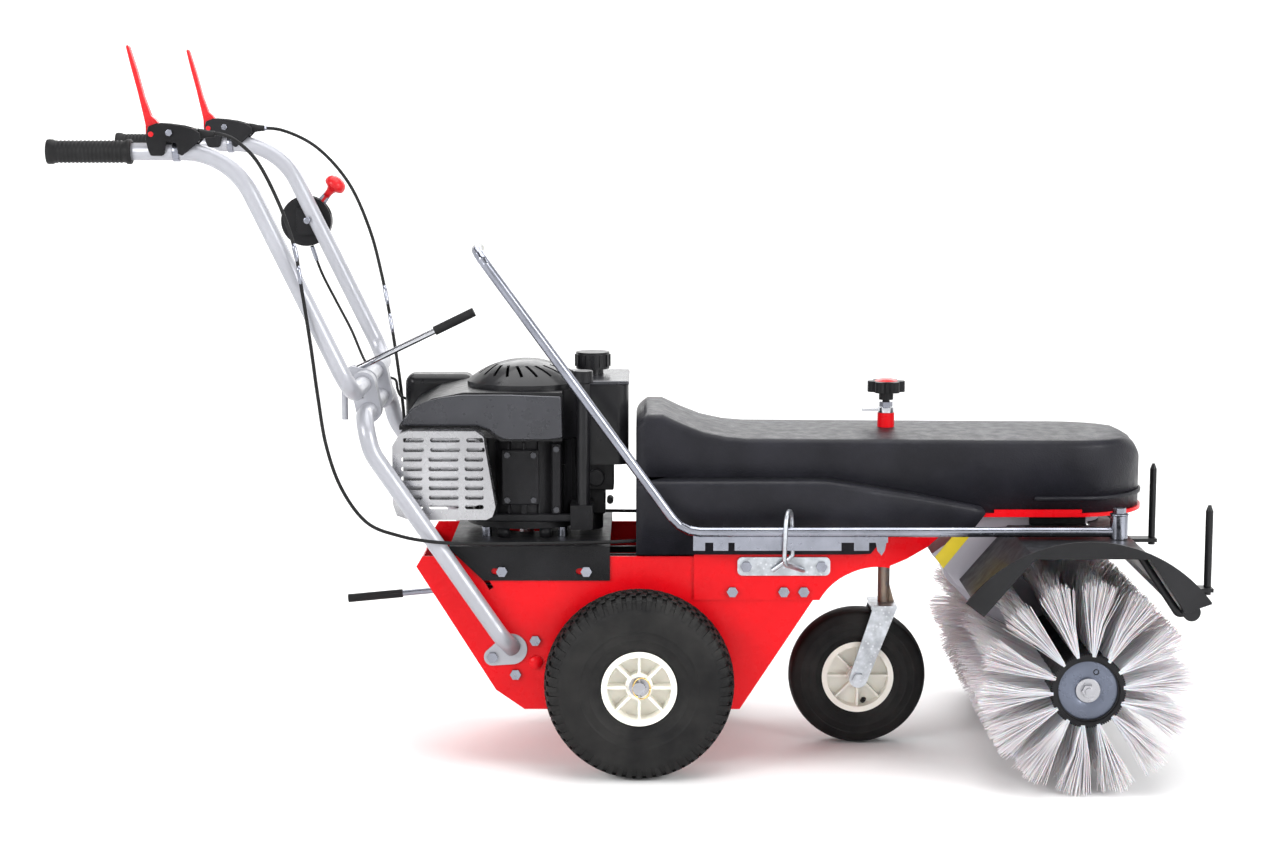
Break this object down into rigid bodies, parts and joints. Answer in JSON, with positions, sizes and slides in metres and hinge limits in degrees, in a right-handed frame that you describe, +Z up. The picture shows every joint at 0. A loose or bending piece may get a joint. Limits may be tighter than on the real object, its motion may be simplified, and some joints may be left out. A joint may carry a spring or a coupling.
{
  "type": "walk-behind sweeper",
  "caption": "Walk-behind power sweeper: engine on a red chassis, front roller brush under a hood, two drive tyres, a caster and tall handlebars.",
  "frame": {"origin": "on the floor, straight below the drive axle, in the middle of the machine; it is also the bottom centre of the bounding box", "axes": "+X forwards towards the brush, +Y to the machine's left, +Z up"},
  "size_m": [1.82, 0.728, 1.161],
  "materials": {
    "red_paint": "gloss powder coat",
    "deck_paint": "coarse textured powder coat",
    "black_paint": "satin powder coat",
    "bar_paint": "silver-grey powder coat",
    "housing_paint": "fine metallic texture",
    "zinc": "bright zinc plate",
    "steel": "machined",
    "brass": "machined",
    "engine_cast": "black painted casting",
    "gearbox_cast": "as cast",
    "exhaust": "bright",
    "engine_plastic": "fine grain",
    "cover_plastic": "pebble grain",
    "control_plastic": "satin",
    "red_plastic": "satin",
    "rim_plastic": "satin",
    "bristle": "nylon fibre",
    "tyre": "matt",
    "rubber": "matt"
  },
  "bodies": {
    "chassis": {"side_plate_right": "red_paint", "side_plate_left": "red_paint", "chassis_pan": "red_paint", "boom": "red_paint", "engine_deck": "deck_paint", "chassis_bolts": "zinc", "gearbox": "gearbox_cast", "engine_block": "engine_cast", "engine_mounts": "zinc", "engine_shroud": "engine_plastic", "recoil_cover": "engine_plastic", "muffler": "exhaust", "muffler_guard": "exhaust", "air_filter": "engine_plastic", "fuel_tank": "engine_plastic", "oil_filler": "engine_plastic", "drive_belts": "rubber", "belt_cover": "cover_plastic", "spindle_tube": "red_paint", "lower_handlebar": "bar_paint", "handlebar_flanges": "bar_paint", "handlebar_clamps": "bar_paint", "rod_guide": "zinc", "clutch_cable_right": "rubber", "clutch_cable_left": "rubber", "throttle_cable": "rubber"},
    "handlebar": {"upper_handlebar": "bar_paint", "hand_grips": "rubber", "lever_brackets": "control_plastic", "throttle_housing": "control_plastic"},
    "clutch_right": {"clutch_lever_right": "red_plastic"},
    "clutch_left": {"clutch_lever_left": "red_plastic"},
    "throttle": {"throttle_lever": "red_plastic"},
    "clamp": {"clamp_lever": "zinc"},
    "shift": {"shift_rod": "zinc"},
    "wheel_right": {"half_shaft_right": "steel", "drive_rim_right": "rim_plastic", "drive_tyre_right": "tyre"},
    "wheel_left": {"half_shaft_left": "steel", "drive_rim_left": "rim_plastic", "drive_tyre_left": "tyre"},
    "height_screw": {"height_knob": "control_plastic"},
    "lock": {"lock_lever": "zinc"},
    "caster_carrier": {"height_nut": "brass"},
    "caster": {"caster_fork": "zinc"},
    "caster_wheel": {"caster_rim": "rim_plastic", "caster_tyre": "tyre"},
    "brush_head": {"gear_housing": "housing_paint", "hood": "black_paint", "hopper_frame": "black_paint", "head_fasteners": "zinc"},
    "brush": {"brush_tubes": "control_plastic", "bristles": "bristle", "brush_shaft": "steel"},
    "rod": {"steering_rod": "zinc"},
    "crank": {"crankshaft": "steel"},
    "wheel_drive": {"drive_pulley": "steel"},
    "jack": {"jackshaft": "steel"},
    "brush_drive": {"input_pulley": "steel"},
    "filler_cap": {"fuel_cap": "engine_plastic"}
  },
  "joints": [
    {"name": "handlebar_tilt", "type": "hinge", "parent": "chassis", "child": "handlebar", "pos_m": [-0.447, 0, 0.619], "axis": [0, 1, 0], "range_deg": [-10, 15], "deforming": ["clutch_cable_right", "clutch_cable_left", "throttle_cable"]},
    {"name": "clutch_right_squeeze", "type": "hinge", "parent": "handlebar", "child": "clutch_right", "pos_m": [-0.747, -0.256, 1.024], "axis": [0, 1, 0], "range_deg": [-65, 0], "stiffness_Nm_per_rad": 0.8, "springref_deg": 22.92},
    {"name": "clutch_left_squeeze", "type": "hinge", "parent": "handlebar", "child": "clutch_left", "pos_m": [-0.747, 0.256, 1.024], "axis": [0, 1, 0], "range_deg": [-65, 0], "stiffness_Nm_per_rad": 0.8, "springref_deg": 22.92},
    {"name": "throttle_turn", "type": "hinge", "parent": "handlebar", "child": "throttle", "pos_m": [-0.585, 0.284, 0.862], "axis": [0, 1, 0], "range_deg": [-25, 25]},
    {"name": "clamp_turn", "type": "hinge", "parent": "chassis", "child": "clamp", "pos_m": [-0.47, -0.046, 0.634], "axis": [0, 1, 0], "range_deg": [-75, 0]},
    {"name": "shift_pull", "type": "slide", "parent": "chassis", "child": "shift", "axis": [-0.9955, 0, -0.0945], "range_m": [0, 0.025]},
    {"name": "wheel_right_spin", "type": "hinge", "parent": "chassis", "child": "wheel_right", "pos_m": [0, -0.225, 0.152], "axis": [0, 1, 0], "continuous": true},
    {"name": "wheel_left_spin", "type": "hinge", "parent": "chassis", "child": "wheel_left", "pos_m": [0, 0.225, 0.152], "axis": [0, 1, 0], "continuous": true},
    {"name": "height_knob_turn", "type": "hinge", "parent": "chassis", "child": "height_screw", "pos_m": [0.41, 0, 0.5], "axis": [0, 0, 1], "range_deg": [-1800, 1800]},
    {"name": "lock_turn", "type": "hinge", "parent": "chassis", "child": "lock", "pos_m": [0.41, 0, 0.564], "axis": [0, 0, 1], "range_deg": [-40, 40]},
    {"name": "caster_height", "type": "slide", "parent": "chassis", "child": "caster_carrier", "axis": [0, 0, 1], "range_m": [-0.02, 0.02]},
    {"name": "caster_swivel", "type": "hinge", "parent": "caster_carrier", "child": "caster", "pos_m": [0.41, 0, 0.3], "axis": [0, 0, 1], "range_deg": [-90, 90]},
    {"name": "caster_spin", "type": "hinge", "parent": "caster", "child": "caster_wheel", "pos_m": [0.366, 0, 0.115], "axis": [0, 1, 0], "continuous": true},
    {"name": "brush_swivel", "type": "hinge", "parent": "chassis", "child": "brush_head", "pos_m": [0.7, 0, 0.4], "axis": [0, 0, 1], "range_deg": [-15, 15]},
    {"name": "rod_turn", "type": "hinge", "parent": "brush_head", "child": "rod", "pos_m": [0.763, -0.205, 0.4], "axis": [0, 0, 1], "range_deg": [-13.5, 13.5]},
    {"name": "crank_spin", "type": "hinge", "parent": "chassis", "child": "crank", "pos_m": [-0.188, 0, 0.4], "axis": [0, 0, 1], "continuous": true},
    {"name": "wheel_drive_spin", "type": "hinge", "parent": "chassis", "child": "wheel_drive", "pos_m": [0, 0, 0.29], "axis": [0, 0, 1], "continuous": true},
    {"name": "jack_spin", "type": "hinge", "parent": "chassis", "child": "jack", "pos_m": [0.11, 0, 0.38], "axis": [0, 0, 1], "continuous": true},
    {"name": "brush_drive_spin", "type": "hinge", "parent": "chassis", "child": "brush_drive", "pos_m": [0.7, 0, 0.43], "axis": [0, 0, 1], "continuous": true},
    {"name": "brush_spin", "type": "hinge", "parent": "brush_head", "child": "brush", "pos_m": [0.695, 0, 0.17], "axis": [0, 1, 0], "continuous": true},
    {"name": "filler_cap_turn", "type": "hinge", "parent": "chassis", "child": "filler_cap", "pos_m": [-0.078, 0.045, 0.64], "axis": [0, 0, 1], "range_deg": [0, 90]}
  ],
  "couplings": [
    {"joint": "height_knob_turn", "follows": "caster_height", "rad_per_m": -1570.8},
    {"joint": "rod_turn", "follows": "brush_swivel", "ratio": -0.882},
    {"joint": "wheel_drive_spin", "follows": "crank_spin", "ratio": 0.717},
    {"joint": "jack_spin", "follows": "crank_spin", "ratio": 0.8837},
    {"joint": "brush_drive_spin", "follows": "crank_spin", "ratio": 0.7313},
    {"joint": "brush_spin", "follows": "crank_spin", "ratio": -0.0731}
  ]
}
